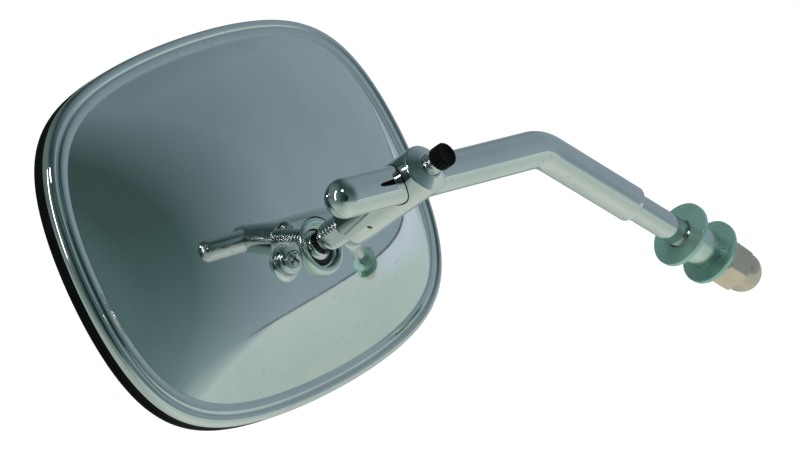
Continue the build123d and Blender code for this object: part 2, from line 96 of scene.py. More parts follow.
# ---- ball stud, hub and thumb screw, along the hub's axis from the ball's centre
BALL_R = 6.0
NECK_R, NECK_TOP = 3.2, 8.2
STUD_R, STUD_TOP = 3.95, 34.0
STUD_PITCH, STUD_DEPTH = 1.25, 0.62
FLAT_BOTTOM, FLAT_TOP, FLAT_HALF, FLAT_TURN = 10.0, 16.0, 3.05, 210.0
HUB_R, HUB_BOTTOM, HUB_SHOULDER, HUB_TOP, HUB_TOP_R = 6.7, 19.1, 49.9, 52.0, 3.4
HUB_BORE_GAP = 0.22
PIN_HEIGHT, PIN_HOLE_R, PIN_DEPTH, PIN_ANGLE = 27.0, 0.82, 2.5, 233.0
THUMB_R, THUMB_BOTTOM, THUMB_STEP = 2.9, 48.55, 53.9
THUMB_NECK_R, THUMB_TOP = 1.95, 57.0
THUMB_PITCH, THUMB_DEPTH = 1.0, 0.6
CAP_BOTTOM, CAP_TOP, CAP_R = 54.9, 58.4, 3.3
CAP_RIBS, CAP_RIB_DEPTH = 18, 0.32

# ---- arm, along the bar from where it crosses the hub
ROD_R = 5.24
ROD_FREE, ROD_FREE_ROUND = 29.4, 4.9
BEND_R = 14.0
SHOULDER_AT = -21.95     # along the stud from the panel seat
PLAIN_SHANK_AT = -12.0
SHANK_R = 3.97
THREAD_FROM, SHANK_END = -3.0, 26.9
SHANK_PITCH, SHANK_DEPTH = 1.25, 0.62

# ---- mounting hardware, along the stud from the panel seat
WASHER_R, WASHER_IN_R, WASHER_H = 9.6, 4.1, 1.6
SLEEVE_R, SLEEVE_L = 5.65, 11.15
LOCK_R, LOCK_H, LOCK_GAP, LOCK_RISE = 6.5, 2.0, 0.19, 0.25
NUT_FLATS, NUT_HEX_H, NUT_H, NUT_DOME_R = 13.0, 8.4, 17.3, 5.95
NUT_BORE_R, NUT_BORE_DEPTH = 4.02, 13.0
NUT_CHAMFER_R, NUT_CHAMFER_SLOPE, NUT_CORNER_TRIM = 6.35, 1.9, 0.12
NUT_TURN = 12.0

# ---- floor and overhead lamp, in metres
FLOOR_HALF, FLOOR_DROP = 6.0, 0.08
SUN_ENERGY, SUN_ANGLE = 3.5, 40.0


# ======== frames ========

def axes(origin, z_axis, x_hint):
    """A matrix whose columns are a right-handed set of axes with the given Z and an X near the hint."""
    z_axis = Vector(z_axis).normalized()
    x_axis = Vector(x_hint)
    x_axis = (x_axis - z_axis * x_axis.dot(z_axis)).normalized()
    y_axis = z_axis.cross(x_axis)
    matrix = Matrix((x_axis, y_axis, z_axis)).transposed().to_4x4()
    matrix.translation = Vector(origin)
    return matrix


def middle(node):
    """The centre of a CAD node's box."""
    low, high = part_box(node)
    return (low + high) / 2


joints = {joint["name"]: joint for joint in frame["joints"]}
stud_axis = Vector(joints["arm_swivel"]["axis"])
bar_axis = Vector(joints["hub_turn"]["axis"])
bar_point = Vector(joints["hub_turn"]["pos_m"])
hub_axis = Vector(joints["head_spin"]["axis"])
ball_point = Vector(joints["head_spin"]["pos_m"])

head_centre = middle("mirror_glass")
head_centre.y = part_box("back_shell")[1].y
socket_centre = middle("wave_spring")
RING_DROP = (head_centre.z - socket_centre.z) / MM

across_bend = (-stud_axis).cross(bar_axis).normalized()
bend_side = bar_axis.cross(across_bend)
to_seat = -bar_point
bend_at = to_seat.dot(bar_axis) - to_seat.dot(bend_side) * stud_axis.dot(bar_axis) / stud_axis.dot(bend_side)
bend_corner = bar_point + bar_axis * bend_at
bend_angle = stud_axis.angle(bar_axis)

HEAD = axes(head_centre, (0, -1, 0), (1, 0, 0))
SOCKET = axes((socket_centre.x, head_centre.y, socket_centre.z), (0, -1, 0), (1, 0, 0))
HUB = axes(ball_point, hub_axis, bar_axis)
BAR = axes(bar_point, bar_axis, hub_axis)
STUD = axes((0, 0, 0), stud_axis, across_bend)


# ======== mesh building ========

def new_object(name, mesh):
    """Links a mesh into the scene as an object."""
    obj = bpy.data.objects.new(name, mesh)
    bpy.context.scene.collection.objects.link(obj)
    return obj


def loft(name, matrix, rows, wrap=False, sharp=38):
    """Joins rows of points into one closed surface. A row is a loop of points, or one point at a pole.
    wrap joins the last row to the first, as round a washer."""
    points, faces, starts = [], [], []
    for row in rows:
        starts.append(len(points))
        points.extend(matrix @ (Vector(point) * MM) for point in row)
    count = len(rows)
    for index in range(count if wrap else count - 1):
        a, b = index, (index + 1) % count
        sizes = (len(rows[a]), len(rows[b]))
        around = max(sizes)
        for step in range(around):
            after = (step + 1) % around
            corners = []
            for row, size, order in ((a, sizes[0], (step, after)), (b, sizes[1], (after, step))):
                if size == 1:
                    corners.append(starts[row])
                else:
                    corners.extend(starts[row] + place for place in order)
            faces.append(corners)
    mesh = bpy.data.meshes.new(name)
    mesh.from_pydata(points, [], faces)
    mesh.validate()
    mesh.shade_smooth()
    mesh.set_sharp_from_angle(angle=math.radians(sharp))
    return new_object(name, mesh)


def circle(radius, height, segments, phase=0.0):
    """A loop of points round Z, or the pole itself when the radius is nothing."""
    if radius <= 0:
        return [(0.0, 0.0, height)]
    loop = []
    for step in range(segments):
        angle = TURN * step / segments + phase
        loop.append((radius * math.cos(angle), radius * math.sin(angle), height))
    return loop


def soften(profile, radius, steps=4, closed=False):
    """The same profile with its corners rounded."""
    count = len(profile)
    result = []
    for index, (r, z) in enumerate(profile):
        if not closed and index in (0, count - 1):
            result.append((r, z))
            continue
        corner = Vector((r, z))
        before = Vector(profile[index - 1]) - corner
        after = Vector(profile[(index + 1) % count]) - corner
        start = corner + before.normalized() * min(radius, 0.45 * before.length)
        end = corner + after.normalized() * min(radius, 0.45 * after.length)
        for step in range(steps + 1):
            t = step / steps
            point = start * (1 - t) ** 2 + corner * 2 * t * (1 - t) + end * t ** 2
            result.append((point.x, point.y))
    return result


def lathe(name, matrix, profile, segments=160, wrap=False, sharp=38):
    """A profile of (radius, height) pairs turned round Z."""
    rows = [circle(r, z, segments) for r, z in profile]
    obj = loft(name, matrix, rows, wrap, sharp)
    weigh_normals(obj)
    return obj


def weigh_normals(obj):
    """Keeps flat faces flat beside their rounded edges."""
    modifier = obj.modifiers.new("even_shading", "WEIGHTED_NORMAL")
    modifier.weight = 60
    modifier.keep_sharp = True


def thread_rows(radius, depth, pitch, bottom, top, segments=72, per_pitch=10, flats=None):
    """Rows of a helical thread. It runs out to the core at both ends. flats gives the spanner flats."""
    rows = []
    steps = int((top - bottom) / pitch * per_pitch)
    for index in range(steps + 1):
        z = bottom + (top - bottom) * index / steps
        fade = min(1.0, (z - bottom) / pitch, (top - z) / pitch)
        row = []
        for step in range(segments):
            angle = TURN * step / segments
            phase = (z / pitch - angle / TURN) % 1.0
            ridge = min(1.0, 1.35 * (1 - abs(2 * phase - 1)))
            r = radius - depth * (1 - max(0.0, fade) * ridge)
            if flats and flats[0] < z < flats[1]:
                reach = abs(math.cos(angle - math.radians(flats[3])))
                r = min(r, flats[2] / max(reach, 1e-6))
            row.append((r * math.cos(angle), r * math.sin(angle), z))
        rows.append(row)
    return rows


def cut(obj, tool):
    """Subtracts one closed mesh from another and deletes the tool."""
    modifier = obj.modifiers.new("cut", "BOOLEAN")
    modifier.operation = "DIFFERENCE"
    modifier.solver = "EXACT"
    modifier.object = tool
    bpy.context.view_layer.update()
    graph = bpy.context.evaluated_depsgraph_get()
    mesh = bpy.data.meshes.new_from_object(obj.evaluated_get(graph))
    obj.modifiers.clear()
    obj.data = mesh
    bpy.data.objects.remove(tool)
    mesh.shade_smooth()
    mesh.set_sharp_from_angle(angle=math.radians(30))
    weigh_normals(obj)


# ======== materials ========

class Nodes:
    """A small helper to build a node tree in code."""

    def __init__(self, tree):
        self.tree = tree

    def add(self, kind, **settings):
        node = self.tree.nodes.new(kind)
        for key, value in settings.items():
            setattr(node, key, value)
        return node

    def link(self, source, target):
        self.tree.links.new(source, target)

    def feed(self, socket, value):
        if isinstance(value, bpy.types.NodeSocket):
            self.link(value, socket)
        else:
            socket.default_value = value

    def math(self, operation, a, b=0.0, clamp=False):
        node = self.add("ShaderNodeMath", operation=operation, use_clamp=clamp)
        self.feed(node.inputs[0], a)
        self.feed(node.inputs[1], b)
        return node.outputs[0]

    def noise(self, scale, detail=3.0, rough=0.5):
        coords = self.add("ShaderNodeTexCoord").outputs["Object"]
        node = self.add("ShaderNodeTexNoise")
        node.inputs["Scale"].default_value = scale
        node.inputs["Detail"].default_value = detail
        node.inputs["Roughness"].default_value = rough
        self.link(coords, node.inputs["Vector"])
        return node.outputs["Fac"]

    def ramp(self, value, stops, interpolation="LINEAR"):
        node = self.add("ShaderNodeValToRGB")
        node.color_ramp.interpolation = interpolation
        elements = node.color_ramp.elements
        while len(elements) < len(stops):
            elements.new(0.5)
        for element, (place, colour) in zip(elements, stops):
            element.position = place
            element.color = (*colour, 1.0)
        self.link(value, node.inputs[0])
        return node.outputs[0]

    def span(self, value, low, high, to_low, to_high):
        node = self.add("ShaderNodeMapRange")
        self.link(value, node.inputs["Value"])
        for key, number in (("From Min", low), ("From Max", high), ("To Min", to_low), ("To Max", to_high)):
            node.inputs[key].default_value = number
        return node.outputs[0]

    def mix(self, factor, a, b, blend="MIX"):
        node = self.add("ShaderNodeMix", data_type="RGBA", blend_type=blend)
        self.feed(node.inputs[0], factor)
        for socket, value in ((node.inputs[6], a), (node.inputs[7], b)):
            if isinstance(value, tuple):
                value = (*value, 1.0)
            self.feed(socket, value)
        return node.outputs[2]

    def bump(self, height, distance, strength=1.0, normal=None):
        node = self.add("ShaderNodeBump")
        node.inputs["Strength"].default_value = strength
        node.inputs["Distance"].default_value = distance
        self.link(height, node.inputs["Height"])
        if normal is not None:
            self.link(normal, node.inputs["Normal"])
        return node.outputs[0]


def material(name):
    """A new material, its node helper and its main shader."""
    made = bpy.data.materials.new(name)
    made.use_nodes = True
    nodes = Nodes(made.node_tree)
    return made, nodes, made.node_tree.nodes["Principled BSDF"]


def metal(name, colour, dark, rough, grain, wave=0.0, marks=0.0, bare=1.0):
    """Plated metal: two close colours in soft patches, uneven polish, fine scratches and faint waviness.
    marks adds the small dull specks of old plating. bare under 1 gives a thin coloured film on the metal."""
    made, nodes, shader = material(name)
    shader.inputs["Metallic"].default_value = bare
    patches = nodes.noise(60.0, 4.0, 0.6)
    tone = nodes.ramp(patches, [(0.35, dark), (0.62, colour)])
    scratches = nodes.noise(900.0, 2.0, 0.7)
    polish = nodes.span(patches, 0.3, 0.75, rough * 0.75, rough * 1.4)
    fine = nodes.span(scratches, 0.35, 0.8, 0.0, grain)
    finish = nodes.math("ADD", polish, fine)
    if marks:
        specks = nodes.span(nodes.noise(700.0, 1.0, 0.4), 0.70, 0.74, 0.0, marks)
        tone = nodes.mix(specks, tone, (0.12, 0.13, 0.12))
        finish = nodes.math("ADD", finish, specks, clamp=True)
    nodes.link(tone, shader.inputs["Base Color"])
    nodes.link(finish, shader.inputs["Roughness"])
    normal = nodes.bump(scratches, 0.000002, 0.6)
    if wave:
        normal = nodes.bump(nodes.noise(28.0, 1.0, 0.4), wave, 1.0, normal)
    nodes.link(normal, shader.inputs["Normal"])
    return made


def moulded(name, colour, light, rough, pore, scale=1400.0, gloss=0.5):
    """Moulded plastic, rubber, board or foam: fine pores, slight colour change and uneven sheen."""
    made, nodes, shader = material(name)
    patches = nodes.noise(90.0, 5.0, 0.6)
    grain = nodes.noise(scale, 3.0, 0.6)
    shader.inputs["Specular IOR Level"].default_value = gloss
    tone = nodes.ramp(patches, [(0.3, colour), (0.75, light)])
    nodes.link(tone, shader.inputs["Base Color"])
    nodes.link(nodes.span(grain, 0.3, 0.7, rough * 0.85, rough * 1.15), shader.inputs["Roughness"])
    nodes.link(nodes.bump(grain, pore, 0.7), shader.inputs["Normal"])
    return made


def silvered(name):
    """Silvered glass: a clean mirror under a faint film, with a few smudges."""
    made, nodes, shader = material(name)
    shader.inputs["Metallic"].default_value = 1.0
    shader.inputs["Coat Weight"].default_value = 0.6
    shader.inputs["Coat Roughness"].default_value = 0.015
    film = nodes.noise(22.0, 4.0, 0.65)
    tone = nodes.ramp(film, [(0.3, (0.80, 0.85, 0.85)), (0.7, (0.86, 0.90, 0.91))])
    nodes.link(tone, shader.inputs["Base Color"])
    nodes.link(nodes.span(film, 0.45, 0.8, 0.008, 0.05), shader.inputs["Roughness"])
    return made


chrome = metal("chrome", (0.80, 0.815, 0.81), (0.75, 0.77, 0.77), 0.035, 0.02, wave=0.00002, marks=0.12)
shell_chrome = metal("shell_chrome", (0.78, 0.80, 0.80), (0.74, 0.765, 0.77), 0.045, 0.02,
                     wave=0.00004, marks=0.10)
bolt_chrome = metal("bolt_chrome", (0.74, 0.76, 0.75), (0.62, 0.65, 0.64), 0.07, 0.05)
zinc = metal("zinc_green", (0.42, 0.66, 0.58), (0.33, 0.57, 0.51), 0.24, 0.04, bare=0.83)
zinc_pale = metal("zinc_pale", (0.78, 0.88, 0.83), (0.66, 0.78, 0.73), 0.20, 0.06)
nickel = metal("nickel", (0.84, 0.70, 0.59), (0.70, 0.60, 0.48), 0.20, 0.05)
steel = metal("plain_steel", (0.50, 0.50, 0.49), (0.36, 0.36, 0.35), 0.30, 0.15)
brass = metal("turned_brass", (0.72, 0.53, 0.25), (0.60, 0.42, 0.18), 0.25, 0.10)
rubber = moulded("black_rubber", (0.002, 0.002, 0.002), (0.004, 0.004, 0.004), 0.5, 0.00002, gloss=0.05)
black_plastic = moulded("black_plastic", (0.002, 0.002, 0.002), (0.004, 0.004, 0.004), 0.4, 0.00002, gloss=0.06)
nylon = moulded("black_nylon", (0.010, 0.010, 0.011), (0.02, 0.02, 0.021), 0.4, 0.00001, gloss=0.3)
blackened = metal("blackened_steel", (0.06, 0.06, 0.06), (0.03, 0.03, 0.03), 0.35, 0.10)
foam = moulded("grey_foam", (0.05, 0.05, 0.055), (0.10, 0.10, 0.11), 0.9, 0.0003, 700.0)
board = moulded("pressed_board", (0.13, 0.10, 0.075), (0.20, 0.16, 0.12), 0.8, 0.0001, 500.0)
mirror = silvered("silvered_glass")


def finish_piece(obj, body, made, slot, *nodes):
    """Gives a new piece its body, material and the CAD nodes it stands for; the slot argument is not used."""
    obj.data.materials.clear()
    obj.data.materials.append(made)
    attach(obj, body)
    if nodes:
        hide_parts(*nodes)


# ======== head ========

def squircle(angle, inset):
    """A point of the head's outline, moved in by the inset."""
    q = SQUARENESS * (math.cos(angle) * math.sin(angle)) ** 2
    r = 1.0 if q < 1e-9 else math.sqrt((1 - math.sqrt(1 - 4 * q)) / (2 * q))
    return (HEAD_A - inset) * r * math.cos(angle), (HEAD_B - inset) * r * math.sin(angle)


def dome_height(x, y):
    """Height of the dome, with a flat pad blended in under each screw."""
    u = (x / (HEAD_A - DOME_INSET)) ** 2
    v = (y / (HEAD_B - DOME_INSET)) ** 2
    g = 1 - u - v + SQUARENESS * u * v
    height = RIM_TOP + DOME_RISE * (g + DOME_FULLNESS * g * (1 - g))
    for side in (-SCREW_X, SCREW_X):
        away = math.hypot(x - side, y + RING_DROP)
        t = min(1.0, max(0.0, (away - PAD_R) / PAD_BLEND))
        t = t * t * (3 - 2 * t)
        height = PAD_TOP + (height - PAD_TOP) * t
    return height


def head_loop(inset, height, segments):
    """The outline as a loop at one inset and height."""
    return [(*squircle(TURN * step / segments, inset), height) for step in range(segments)]


def build_shell():
    """Pressed shell: a smooth dome from the ring's hole to its foot, the band, the rolled rim, and inside."""
    segments, dome_steps = 400, 170
    centre = Vector((0.0, -RING_DROP))

    def dome_row(t, drop):
        row = []
        for step in range(segments):
            foot = Vector(squircle(TURN * step / segments, DOME_INSET))
            outward = (foot - centre).normalized()
            point = centre + outward * (RING_R + 0.05)
            point = point.lerp(foot, t * (0.35 + 0.65 * t))
            row.append((point.x, point.y, dome_height(point.x, point.y) - drop))
        return row

    rim = [(5.35, 3.12), (5.15, 3.10), (4.95, 3.18), (4.6, 3.24), (3.5, 3.18), (3.15, 3.06), (2.95, 2.80),
           (2.75, 2.62), (2.5, 2.66), (2.25, 2.86), (1.85, 3.04), (1.4, 3.04), (0.95, 2.84), (0.55, 2.46),
           (0.25, 1.95), (0.08, 1.35), (0.0, 0.75), (0.0, 0.2), (0.1, 0.03), (0.4, 0.0), (0.75, 0.05),
           (0.85, 0.3), (0.9, 1.5), (1.4, 2.0), (3.2, 2.1), (5.6, 2.3)]
    rows = [dome_row((index / dome_steps), 0.0) for index in range(dome_steps + 1)]
    rows += [head_loop(inset, height, segments) for inset, height in rim]
    rows += [dome_row(1 - index / 30, SHEET) for index in range(1, 31)]
    return loft("shell_skin", HEAD, rows, wrap=True, sharp=50)


def build_bezel():
    """Rubber channel with a rounded front lip and one fine groove round its outside."""
    profile = [(0.15, -0.05), (0.15, -1.7), (0.4, -1.85), (0.15, -2.0), (0.15, -3.8), (5.0, -3.8),
               (5.0, -3.1), (2.5, -3.1), (2.5, 1.85), (1.0, 1.85), (1.0, -0.05)]
    rounded = soften(profile, 0.45, 4, closed=True)
    rows = [head_loop(inset, height, 240) for inset, height in rounded]
    return loft("bezel_channel", HEAD, rows, wrap=True)


def build_socket():
    """The cast socket: rounded ring and mouth above the shell, barrel inside it."""
    lip = [(RING_MOUTH_R, RING_TOP - 0.45), (RING_MOUTH_R + 0.12, RING_TOP - 0.15), (RING_MOUTH_R + 0.4, RING_TOP)]
    for index in range(9):
        angle = math.pi / 2 * index / 8
        out, up = LIP_ROUND * math.sin(angle), LIP_ROUND * math.cos(angle)
        lip.append((RING_R - LIP_ROUND + out, RING_TOP - LIP_ROUND + up))
    profile = [(RING_HOLE_R, SEAT_BORE_END), (RING_HOLE_R, RING_HOLE_TOP), (RING_MOUTH_R - 0.35, RING_HOLE_TOP),
               (RING_MOUTH_R, RING_HOLE_TOP + 0.5)] + lip
    profile += [(RING_R, BARREL_TOP), (BARREL_R, BARREL_TOP), (BARREL_R, BARREL_BOTTOM),
                (CUP_BORE_R, BARREL_BOTTOM), (CUP_BORE_R, CUP_BORE_TOP), (SEAT_BORE_R, SEAT_BORE_START),
                (SEAT_BORE_R, SEAT_BORE_END)]
    return lathe("socket_ring", SOCKET, soften(profile, 0.12, 3, closed=True), 192, wrap=True)


def build_ears():
    """The socket's two screw bosses."""
    made = []
    for side, name in ((-SCREW_X, "socket_boss_left"), (SCREW_X, "socket_boss_right")):
        matrix = SOCKET @ Matrix.Translation((side * MM, 0, 0))
        tube = [(BOSS_BORE_R, BOSS_BOTTOM), (BOSS_R, BOSS_BOTTOM), (BOSS_R, BOSS_TOP), (BOSS_BORE_R, BOSS_TOP)]
        made.append(lathe(name, matrix, soften(tube, 0.3, 3, closed=True), 64, wrap=True))
    return made


def build_pan_screw(side, name):
    """Pan-head screw with a cross recess and a shank."""
    matrix = SOCKET @ Matrix.Translation((side * MM, 0, 0))
    seat = PAD_TOP + PAN_WASHER_H + PAN_SPRING_H
    top = seat + SCREW_HEAD_H
    profile = [(0, top), (1.2, top - 0.02), (2.3, top - 0.14), (3.1, top - 0.42), (3.6, top - 0.85),
               (SCREW_HEAD_R, top - 1.35), (SCREW_HEAD_R, seat + 0.1), (3.7, seat), (SCREW_R, seat),
               (SCREW_R, 2.7), (1.6, 2.45), (0, 2.42)]
    obj = lathe(name, matrix, profile, 96, sharp=45)
    obj.modifiers.clear()
    arm, half = CROSS_ARM, CROSS_HALF
    outline = [(half, half), (half, arm), (-half, arm), (-half, half), (-arm, half), (-arm, -half),
               (-half, -half), (-half, -arm), (half, -arm), (half, -half), (arm, -half), (arm, half)]
    turned = matrix @ Matrix.Rotation(math.radians(CROSS_TURN), 4, "Z")
    rows = [[(0, 0, top - CROSS_DEPTH - 0.2)]]
    rows.append([(x * 0.65, y * 0.65, top - CROSS_DEPTH) for x, y in outline])
    rows.append([(x * 1.05, y * 1.05, top + 0.4) for x, y in outline])
    rows.append([(0, 0, top + 0.4)])
    cut(obj, loft("cross_tool", turned, rows))
    return obj


def build_split_ring(name, matrix, inner, outer, height, gap, rise, segments=120):
    """Spring washer: a square-section ring cut through once, its two ends a little apart in height."""
    profile = soften([(inner, 0.0), (outer, 0.0), (outer, 1.0), (inner, 1.0)], 0.16, 3, closed=True)
    rows = []
    for index in range(segments + 1):
        t = index / segments
        angle = gap / 2 + (TURN - gap) * t
        low = rise * t
        thick = height - rise
        row = [(r * math.cos(angle), r * math.sin(angle), low + z * thick) for r, z in profile]
        rows.append(row)
    mid = (inner + outer) / 2
    first = (mid * math.cos(gap / 2), mid * math.sin(gap / 2), (height - rise) / 2)
    last = (mid * math.cos(gap / 2), -mid * math.sin(gap / 2), rise + (height - rise) / 2)
    return loft(name, matrix, [[first]] + rows + [[last]])


shell = build_shell()
finish_piece(shell, "head", shell_chrome, "chrome", "back_shell")
finish_piece(build_bezel(), "head", rubber, "black_rubber", "rim_bezel")
socket = build_socket()
finish_piece(socket, "head", zinc_pale, "chrome", "socket_housing")
for ear in build_ears():
    finish_piece(ear, "head", chrome, "chrome", "socket_housing")

for side, word in ((-SCREW_X, "left"), (SCREW_X, "right")):
    screw = build_pan_screw(side, f"pan_screw_{word}")
    finish_piece(screw, "head", bolt_chrome, "chrome_fasteners", "pan_screws")
    at_pad = SOCKET @ Matrix.Translation((side * MM, 0, PAD_TOP * MM))
    flat = [(BOSS_BORE_R, 0.0), (PAN_WASHER_R, 0.0), (PAN_WASHER_R, PAN_WASHER_H), (BOSS_BORE_R, PAN_WASHER_H)]
    flat = soften(flat, 0.14, 3, closed=True)
    washer = lathe(f"pan_washer_{word}", at_pad, flat, 96, wrap=True)
    finish_piece(washer, "head", bolt_chrome, "chrome_fasteners", "pan_flat_washers")
    at_lock = at_pad @ Matrix.Translation((0, 0, PAN_WASHER_H * MM)) @ Matrix.Rotation(PAN_SPRING_TURN, 4, "Z")
    spring = build_split_ring(f"pan_spring_washer_{word}", at_lock, BOSS_BORE_R, PAN_SPRING_R, PAN_SPRING_H,
                              PAN_SPRING_GAP, PAN_SPRING_RISE, 72)
    finish_piece(spring, "head", bolt_chrome, "chrome_fasteners", "pan_lock_washers")


# ======== ball stud, hub and thumb screw ========

def build_ball_stud():
    """Ball, neck and a rolled thread with two spanner flats, with a plain end up in the hub."""
    rows = [[(0, 0, -BALL_R)]]
    neck_at = math.acos(NECK_R / BALL_R)
    for index in range(1, 33):
        angle = -math.pi / 2 + (math.pi / 2 + neck_at) * index / 32
        rows.append(circle(BALL_R * math.cos(angle), BALL_R * math.sin(angle), 72))
    rows.append(circle(NECK_R, BALL_R * math.sin(neck_at) + 0.4, 72))
    rows.append(circle(NECK_R, NECK_TOP - 0.15, 72))
    flats = (FLAT_BOTTOM, FLAT_TOP, FLAT_HALF, FLAT_TURN)
    rows += thread_rows(STUD_R, STUD_DEPTH, STUD_PITCH, NECK_TOP, STUD_TOP, flats=flats)
    rows.append([(0, 0, STUD_TOP)])
    return loft("ball_stud_thread", HUB, rows, sharp=60)


def build_hub():
    """Cylinder with a softened lower end and a coned top, bored across for the bar."""
    profile = [(0, HUB_BOTTOM), (HUB_R, HUB_BOTTOM), (HUB_R, HUB_SHOULDER), (HUB_TOP_R, HUB_TOP), (3.0, HUB_TOP),
               (3.0, HUB_TOP - 1.0), (0, HUB_TOP - 1.0)]
    obj = lathe("hub_barrel", HUB, soften(profile, 0.4, 6), 256)
    obj.modifiers.clear()
    bore = ROD_R + HUB_BORE_GAP
    reach = 2 * HUB_R
    tool = lathe("bore_tool", BAR, [(0, -reach), (bore, -reach), (bore, reach), (0, reach)], 256)
    tool.modifiers.clear()
    cut(obj, tool)
    angle = math.radians(PIN_ANGLE)
    outward = HUB.to_3x3() @ Vector((math.cos(angle), math.sin(angle), 0.0))
    hole = axes(HUB @ Vector((0, 0, PIN_HEIGHT * MM)), outward, hub_axis)
    low, high = HUB_R - PIN_DEPTH, HUB_R + 1.0
    tool = lathe("pin_tool", hole, [(0, low), (PIN_HOLE_R, low), (PIN_HOLE_R, high), (0, high)], 48)
    tool.modifiers.clear()
    cut(obj, tool)
    return obj


def build_cap():
    """Black cap of the thumb screw, ribbed round its side, with a shallow dished top."""
    segments = CAP_RIBS * 12
    rows = [[(0, 0, CAP_BOTTOM + 0.6)], circle(2.2, CAP_BOTTOM + 0.6, segments), circle(2.4, CAP_BOTTOM, segments)]
    side = soften([(2.4, CAP_BOTTOM), (CAP_R, CAP_BOTTOM), (CAP_R, CAP_TOP), (2.3, CAP_TOP)], 0.45, 6)
    for r, z in side[1:]:
        row = []
        for step in range(segments):
            angle = TURN * step / segments
            groove = abs(math.sin(angle * CAP_RIBS / 2)) ** 0.6
            keep = min(1.0, max(0.0, (r - 2.9) / 0.6))
            radius = r - CAP_RIB_DEPTH * (1 - groove) * keep
            row.append((radius * math.cos(angle), radius * math.sin(angle), z))
        rows.append(row)
    rows += [circle(2.0, CAP_TOP - 0.15, segments), circle(1.0, CAP_TOP - 0.32, segments)]
    rows.append([(0, 0, CAP_TOP - 0.36)])
    return loft("thumb_cap_ribbed", HUB, rows, sharp=50)


def build_thumb_thread():
    """Thumb screw: a thread up to the step, then the thinner neck that goes into the cap."""
    rows = [[(0, 0, THUMB_BOTTOM)]]
    rows += thread_rows(THUMB_R, THUMB_DEPTH, THUMB_PITCH, THUMB_BOTTOM, THUMB_STEP, 64, 10)
    rows += [circle(THUMB_NECK_R, THUMB_STEP + 0.3, 64), circle(THUMB_NECK_R, THUMB_TOP, 64)]
    rows.append([(0, 0, THUMB_TOP)])
    return loft("thumb_thread", HUB, rows, sharp=60)


finish_piece(build_ball_stud(), "hub", chrome, "chrome", "ball_stud")
finish_piece(build_hub(), "hub", chrome, "chrome", "hub")
finish_piece(build_cap(), "thumb_screw", black_plastic, "black_plastic", "thumb_cap")
finish_piece(build_thumb_thread(), "thumb_screw", bolt_chrome, "chrome_fasteners", "thumb_screw")


# ======== arm ========

def build_bar():
    """Round bar: domed free end, straight, one bend, straight to the shoulder, then the plain shank."""
    segments = 192
    side = Vector(across_bend)

    def ring(point, tangent, radius):
        first = tangent.cross(side).normalized()
        loop = []
        for step in range(segments):
            angle = TURN * step / segments
            offset = first * math.cos(angle) + side * math.sin(angle)
            loop.append((point + offset * radius * MM) / MM)
        return loop

    def along_bar(distance):
        return bar_point + bar_axis * distance * MM

    def along_stud(distance):
        return stud_axis * distance * MM

    rows = [[along_bar(-ROD_FREE) / MM]]
    for index in range(1, 25):
        angle = math.pi / 2 * index / 24
        radius = ROD_R - ROD_FREE_ROUND + ROD_FREE_ROUND * math.sin(angle)
        place = along_bar(-ROD_FREE + ROD_FREE_ROUND * (1 - math.cos(angle)))
        rows.append(ring(place, bar_axis, radius))
    trim = BEND_R * math.tan(bend_angle / 2)
    corner = bend_at / MM
    start = -ROD_FREE + ROD_FREE_ROUND
    for index in range(1, 31):
        rows.append(ring(along_bar(start + (corner - trim - start) * index / 30), bar_axis, ROD_R))
    tangent_in = bend_corner - bar_axis * trim * MM
    inward = (stud_axis - bar_axis * stud_axis.dot(bar_axis)).normalized()
    pivot = tangent_in + inward * BEND_R * MM
    for index in range(1, 41):
        angle = bend_angle * index / 40
        point = pivot - inward * BEND_R * MM * math.cos(angle) + bar_axis * BEND_R * MM * math.sin(angle)
        tangent = bar_axis * math.cos(angle) + inward * math.sin(angle)
        rows.append(ring(point, tangent, ROD_R))
    corner_height = bend_corner.dot(stud_axis) / MM
    begin = corner_height + trim
    end = SHOULDER_AT - 0.6
    for index in range(1, 21):
        rows.append(ring(along_stud(begin + (end - begin) * index / 20), stud_axis, ROD_R))
    for height, radius in ((SHOULDER_AT - 0.4, ROD_R - 0.08), (SHOULDER_AT - 0.15, ROD_R - 0.3),
                           (SHOULDER_AT, ROD_R - 0.6), (SHOULDER_AT, SHANK_R + 0.2),
                           (SHOULDER_AT + 0.2, SHANK_R), (PLAIN_SHANK_AT, SHANK_R), (THREAD_FROM - 0.3, SHANK_R)):
        rows.append(ring(along_stud(height), stud_axis, radius))
    rows.append([along_stud(THREAD_FROM - 0.3) / MM])
    obj = loft("arm_bar", Matrix.Identity(4), rows, sharp=40)
    weigh_normals(obj)
    return obj


def build_mount_thread():
    """The threaded end of the mounting stud."""
    rows = [[(0, 0, THREAD_FROM - 0.5)], circle(SHANK_R - SHANK_DEPTH, THREAD_FROM - 0.5, 72)]
    rows += thread_rows(SHANK_R, SHANK_DEPTH, SHANK_PITCH, THREAD_FROM, SHANK_END)
    rows.append([(0, 0, SHANK_END)])
    return loft("mount_thread", STUD, rows, sharp=60)


finish_piece(build_bar(), "arm", chrome, "chrome", "arm_rod")
finish_piece(build_mount_thread(), "arm", bolt_chrome, "chrome", "arm_rod")


# ======== mounting hardware ========

def along(matrix, height):
    """The same axes, moved up their own Z."""
    return matrix @ Matrix.Translation((0, 0, height * MM))


def build_flat_washer(name, height):
    """Stamped washer with softly rounded edges."""
    profile = [(WASHER_IN_R, 0.0), (WASHER_R, 0.0), (WASHER_R, WASHER_H), (WASHER_IN_R, WASHER_H)]
    return lathe(name, along(STUD, height), soften(profile, 0.28, 4, closed=True), 192, wrap=True)


